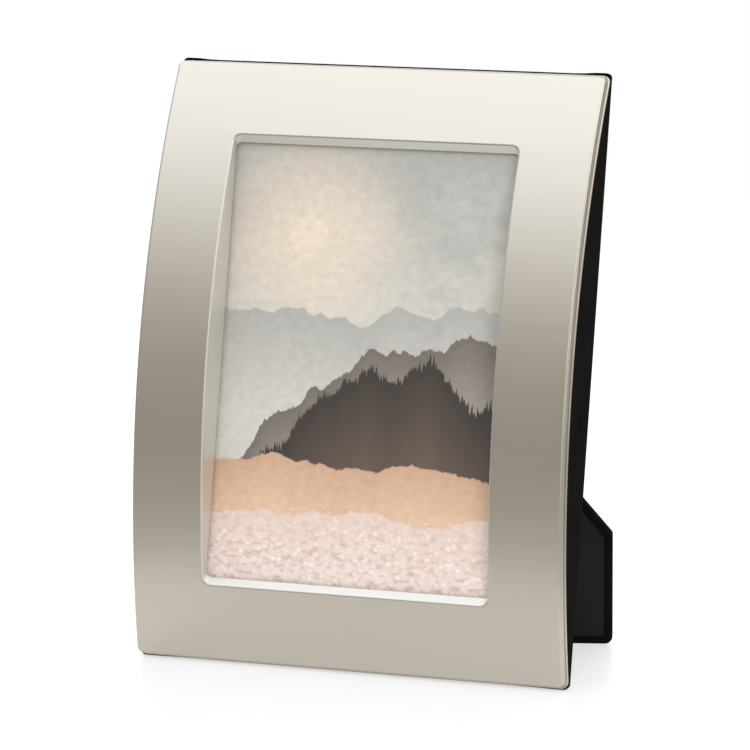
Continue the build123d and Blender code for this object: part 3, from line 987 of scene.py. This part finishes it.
FOOT_ROUND = 0.003
LEG_CORNER = 0.002
LEAF_PLAY = 0.0003
leg_half = leg_span("leg_velvet", PIN_WAY)[1]
leg_top, leg_reach = leg_span("leg_velvet", LEG_DOWN)
foot_corner = leg_reach + FOOT_ROUND * (math.cos(leg_tilt) + math.sin(leg_tilt) - 1)
leg_inner, leg_outer = leg_span("leg_velvet", LEG_OUT)
board_inner = leg_span("leg_board", LEG_OUT)[0]
notch_half = leg_span("hinge_leg_leaf", PIN_WAY)[1] + LEAF_PLAY
notch_reach = leg_span("hinge_leg_leaf", LEG_DOWN)[1] + LEAF_PLAY
print("leg", round(2 * leg_half, 4), "wide, foot corner at", round(foot_corner, 4))


def leg_corners():
    """The leg's five corners, counter-clockwise as seen along LEG_OUT, from the upper left one."""
    slope = math.tan(leg_tilt)
    return [
        (-leg_half, leg_top),
        (leg_half, leg_top),
        (leg_half, foot_corner - leg_half / slope),
        (0.0, foot_corner),
        (-leg_half, foot_corner - leg_half * slope),
    ]


LEG_RADII = [LEG_CORNER, LEG_CORNER, LEG_CORNER, FOOT_ROUND, LEG_CORNER]

# %% [markdown]
# The leg's velvet is again a stack of rings: from the hem's inner edge, out over the rounded inner
# edge, along the side, round the outer edge and in over the back. The hem is left out beside the hinge
# leaf, so the top side has points exactly at the ends of that notch.

# %% Leg velvet
HEM_WIDTH = 0.0026
HEM_TUCK = 0.0003
HEM_TURN = 0.0002
LEG_ROUND = 0.0004
LEG_RINGS = (0.0016, 0.004, 0.008)
NOTCH_SHARES = (-1.0, -0.5, 0.0, 0.5, 1.0)
NOTCH_FIRST = CORNER_STEPS + 1
NOTCH_LAST = NOTCH_FIRST + len(NOTCH_SHARES) - 1


def leg_outline(inset):
    """The leg's outline at an inset. Two points of its upper side are the ends of the notch."""
    half = leg_half - inset
    top_side = [(share * notch_half + half) / (2 * half) for share in NOTCH_SHARES]
    return rounded_outline(leg_corners(), LEG_RADII, inset, [top_side] + [EVEN] * 4)


def make_leg_velvet():
    cloth_edge = HEM_WIDTH + VELVET_THICKNESS
    levels = [
        (cloth_edge, leg_inner + HEM_TUCK),
        (cloth_edge - HEM_TURN, leg_inner),
        (cloth_edge / 2 + LEG_ROUND / 2, leg_inner),
    ]
    levels += [(depth, leg_inner + inset) for inset, depth in quarter_round(LEG_ROUND)]
    hem_levels = len(levels)
    levels += [(inset, leg_outer - depth) for inset, depth in quarter_round(LEG_ROUND)]
    levels += [(inset, leg_outer) for inset in LEG_RINGS]
    rings = [[on_leg(point.x, point.y, level) for point in leg_outline(inset)] for inset, level in levels]

    def in_notch(row, column):
        return NOTCH_FIRST <= row < NOTCH_LAST and column < hem_levels - 1

    piece = ring_piece("velvet_leg", rings, "velvet", skip=in_notch)
    piece.data.flip_normals()
    thicken(piece, VELVET_THICKNESS)
    lay_cloth(piece, "easel_leg", "leg_velvet")


make_leg_velvet()

# %% [markdown]
# The lining is a flat sheet inside the hem, with a notch for the hinge leaf. Its outline is the leg's,
# inset past the hem; the upper side is walked down one side of the notch, along it and up again. Its
# UV map holds plain distances on the leg, which the weave follows.

# %% Leg lining
LINING_PLAY = 0.0001
LINING_THICKNESS = 0.0004


def make_leg_lining():
    inset = HEM_WIDTH + VELVET_THICKNESS + LINING_PLAY
    outline = leg_outline(inset)
    notch = [Vector((side * notch_half, notch_reach)) for side in (-1, 1)]
    outline = outline[: NOTCH_FIRST + 1] + notch + outline[NOTCH_LAST:]
    points = [on_leg(point.x, point.y, board_inner - LINING_THICKNESS) for point in outline]
    piece = add_piece("lining_leg", points, [list(reversed(range(len(points))))], "lining")
    map_places(piece, "along the leg", outline)
    thicken(piece, LINING_THICKNESS)
    lay_cloth(piece, "easel_leg", "leg_lining")


make_leg_lining()

# %% [markdown]
# The print is a sheet of photo paper behind the glass. The solid lies face to face with the pane, and
# two faces in one plane confuse a renderer, so the modelled sheet lies a hair behind the glass and is
# very slightly cockled, as a real print is. Its UV map runs from corner to corner, for the picture.

# %% Print sheet
PAPER_THICKNESS = 0.00022
PAPER_GAP = 0.00003
PAPER_COCKLE = 0.00003
COCKLES_ACROSS = 3
COCKLES_UP = 4
PAPER_ROWS = 25
PAPER_COLUMNS = 19


def make_print_sheet():
    half = frame_span("photo_print", RIGHT)[1]
    low, high = frame_span("photo_print", UP)
    front = frame_span("photo_print", REAR)[0] + PAPER_GAP
    points, shares = [], []
    for row in range(PAPER_ROWS):
        for column in range(PAPER_COLUMNS):
            across, up = column / (PAPER_COLUMNS - 1), row / (PAPER_ROWS - 1)
            wave = noise.noise(Vector((across * COCKLES_ACROSS, up * COCKLES_UP, 0.0)))
            dip = PAPER_COCKLE * (0.5 + 0.5 * wave)
            points.append(on_frame(half * (2 * across - 1), front + dip, low + (high - low) * up))
            shares.append((across, up))
    piece = add_piece("print_sheet", points, grid_faces(PAPER_ROWS, PAPER_COLUMNS), "print")
    map_places(piece, "picture", shares)
    thicken(piece, PAPER_THICKNESS)
    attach(piece, "frame")
    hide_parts("photo_print")
    print("print sheet", round(2 * half, 4), "by", round(high - low, 4))


make_print_sheet()

# %% [markdown]
# The floor is a pale, slightly glossy sheet, so it keeps the soft shadow and a faint mirror image of
# the lower edge. Away from the object it fades into the white background, which hides its rim.

# %% Floor
FLOOR_RADIUS = 1.6
FLOOR_GLOW = 0.56
MIRRORED_GLOW = 0.42
FADE_FROM = 0.7
FADE_TO = 1.5


def make_floor():
    plain = {"Base Color": (0.42, 0.42, 0.42, 1.0), "Roughness": 0.34, "Specular IOR Level": 0.35}
    plain["Emission Color"] = (1.0, 1.0, 1.0, 1.0)
    material, tree, shader = start_material("pale_floor", plain)
    mirrored = node(tree, "LightPath").outputs["Is Glossy Ray"]
    glow = from_to(tree, mirrored, (0.0, 1.0), (FLOOR_GLOW, MIRRORED_GLOW))
    fill(tree, shader.inputs["Emission Strength"], glow)
    place = scaled_place(tree, object_place(tree), (1.0, 1.0, 0.0))
    distance = node(tree, "VectorMath", {0: place}, operation="LENGTH").outputs["Value"]
    fade = from_to(tree, distance, (FADE_FROM, FADE_TO), smooth=True)
    clear = node(tree, "BsdfTransparent")
    faded = node(tree, "MixShader", {0: fade, 1: shader.outputs["BSDF"], 2: clear.outputs["BSDF"]})
    fill(tree, tree.nodes["Material Output"].inputs["Surface"], faded.outputs["Shader"])
    corners = [(x, y, 0.0) for x, y in rectangle(FLOOR_RADIUS, -FLOOR_RADIUS, FLOOR_RADIUS)]
    mesh = make_mesh("floor", corners, [(0, 1, 2, 3)], material)
    link(bpy.data.objects.new("floor", mesh))
    print("floor", 2 * FLOOR_RADIUS, "m square, fades from", FADE_FROM, "to", FADE_TO, "m")


make_floor()

# %% [markdown]
# Metal only looks like metal when it has something to mirror. In the photograph's studio that is a
# pale table, a dim horizon in front of the object, and light that grows steadily towards a large soft
# source overhead. Here it is one bent screen that only mirror rays can see: its profile runs along the
# table, up a wall and over a ceiling, and every row of the profile has its own glow. It neither lights
# the object nor shows to the camera.

# %% Studio screen
SCREEN_FROM = math.radians(-125)
SCREEN_TO = math.radians(165)
SCREEN_STEPS = 48
WARM_GLOW = (1.0, 0.985, 0.94, 1.0)
COOL_GLOW = (0.985, 1.035, 1.12, 1.0)
SCREEN_PROFILE = [
    # radius, height, glow
    (0.20, 0.003, 0.74),
    (0.32, 0.003, 0.58),
    (0.60, 0.003, 0.48),
    (1.00, 0.010, 0.42),
    (1.17, 0.080, 0.40),
    (1.20, 0.200, 0.41),
    (1.20, 0.400, 0.49),
    (1.20, 0.600, 0.70),
    (1.20, 0.800, 1.02),
    (1.20, 1.000, 1.34),
    (1.20, 1.250, 1.52),
    (1.20, 1.550, 1.62),
    (1.20, 1.900, 1.68),
    (1.05, 2.200, 1.60),
    (0.50, 2.350, 1.10),
    (0.00, 2.350, 0.80),
]


def only_mirrored(stage_piece):
    """A stage piece that only mirror rays can see."""
    stage_piece.visible_camera = False
    stage_piece.visible_diffuse = False
    stage_piece.visible_transmission = False
    stage_piece.visible_shadow = False


def make_glow(name):
    """Glows as brightly as each point's own glow value says."""
    material = bpy.data.materials.new(name)
    material.use_nodes = True
    tree = material.node_tree
    tree.nodes.remove(tree.nodes["Principled BSDF"])
    level = node(tree, "Attribute", attribute_name="glow").outputs["Fac"]
    bright = from_to(tree, level, (0.5, 1.5))
    colour = mix_colours(tree, bright, WARM_GLOW, COOL_GLOW)
    glow = node(tree, "Emission", {"Color": colour, "Strength": level})
    fill(tree, tree.nodes["Material Output"].inputs["Surface"], glow.outputs["Emission"])
    return material


def make_screen():
    points, glows = [], []
    for step in range(SCREEN_STEPS + 1):
        way = towards(SCREEN_FROM + (SCREEN_TO - SCREEN_FROM) * step / SCREEN_STEPS, 0.0)
        for radius, height, glow in SCREEN_PROFILE:
            points.append((way.x * radius, way.y * radius, height))
            glows.append(glow)
    faces = grid_faces(SCREEN_STEPS + 1, len(SCREEN_PROFILE))
    mesh = make_mesh("studio_screen", points, faces, make_glow("screen_glow"))
    mesh.attributes.new("glow", "FLOAT", "POINT").data.foreach_set("value", glows)
    only_mirrored(link(bpy.data.objects.new("studio_screen", mesh)))


make_screen()
print("screen profile:", len(SCREEN_PROFILE), "rows")

# %% [markdown]
# Five lamps light the object at a plain level. A large softbox overhead, a broad lamp at the front right
# and one behind give soft light, and mirror rays can't see them. A narrow strip light near the camera
# and one at the right side are seen in the metal: they draw the bright lines along the rolled right
# edge. The world is white where it is seen, mirrored or seen through the glass, and gives a dimmer fill
# everywhere else.

# %% Lamps and world
LIGHT_AIM = Vector((0.0, 0.0, 0.1))
FILL_LIGHT = 0.62
LAMPS = [
    # name, place, width and height, watts, seen by mirror rays
    ("softbox", Vector((0.0, -0.15, 1.55)), (1.7, 1.7), 6.0, False),
    ("front_lamp", towards(math.radians(30), math.radians(30)) * 1.7, (0.9, 0.9), 12.0, False),
    ("back_lamp", towards(math.radians(190), math.radians(42)) * 1.6, (0.9, 0.9), 10.0, False),
    ("strip_light", towards(math.radians(38), math.radians(14)) * 1.1, (0.16, 0.9), 0.9, True),
    ("side_strip", towards(math.radians(92), math.radians(18)) * 1.1, (0.30, 1.0), 1.5, True),
]


def add_lamp(name, place, size, power, mirrored):
    data = bpy.data.lights.new(name, "AREA")
    data.shape = "RECTANGLE"
    data.size, data.size_y = size
    data.energy = power
    lamp = link(bpy.data.objects.new(name, data))
    aim(lamp, place, LIGHT_AIM - place)
    lamp.visible_glossy = mirrored


def make_world():
    world = bpy.data.worlds.new("studio")
    world.use_nodes = True
    tree = world.node_tree
    path = node(tree, "LightPath").outputs
    mirrored = sums(tree, "MAXIMUM", path["Is Glossy Ray"], path["Is Transmission Ray"])
    seen = sums(tree, "MAXIMUM", path["Is Camera Ray"], mirrored)
    background = tree.nodes["Background"]
    background.inputs["Color"].default_value = (1.0, 1.0, 1.0, 1.0)
    fill(tree, background.inputs["Strength"], from_to(tree, seen, (0.0, 1.0), (FILL_LIGHT, 1.0)))
    bpy.context.scene.world = world


for lamp in LAMPS:
    add_lamp(*lamp)
make_world()
print("lamps:", [light.name for light in bpy.data.lights])
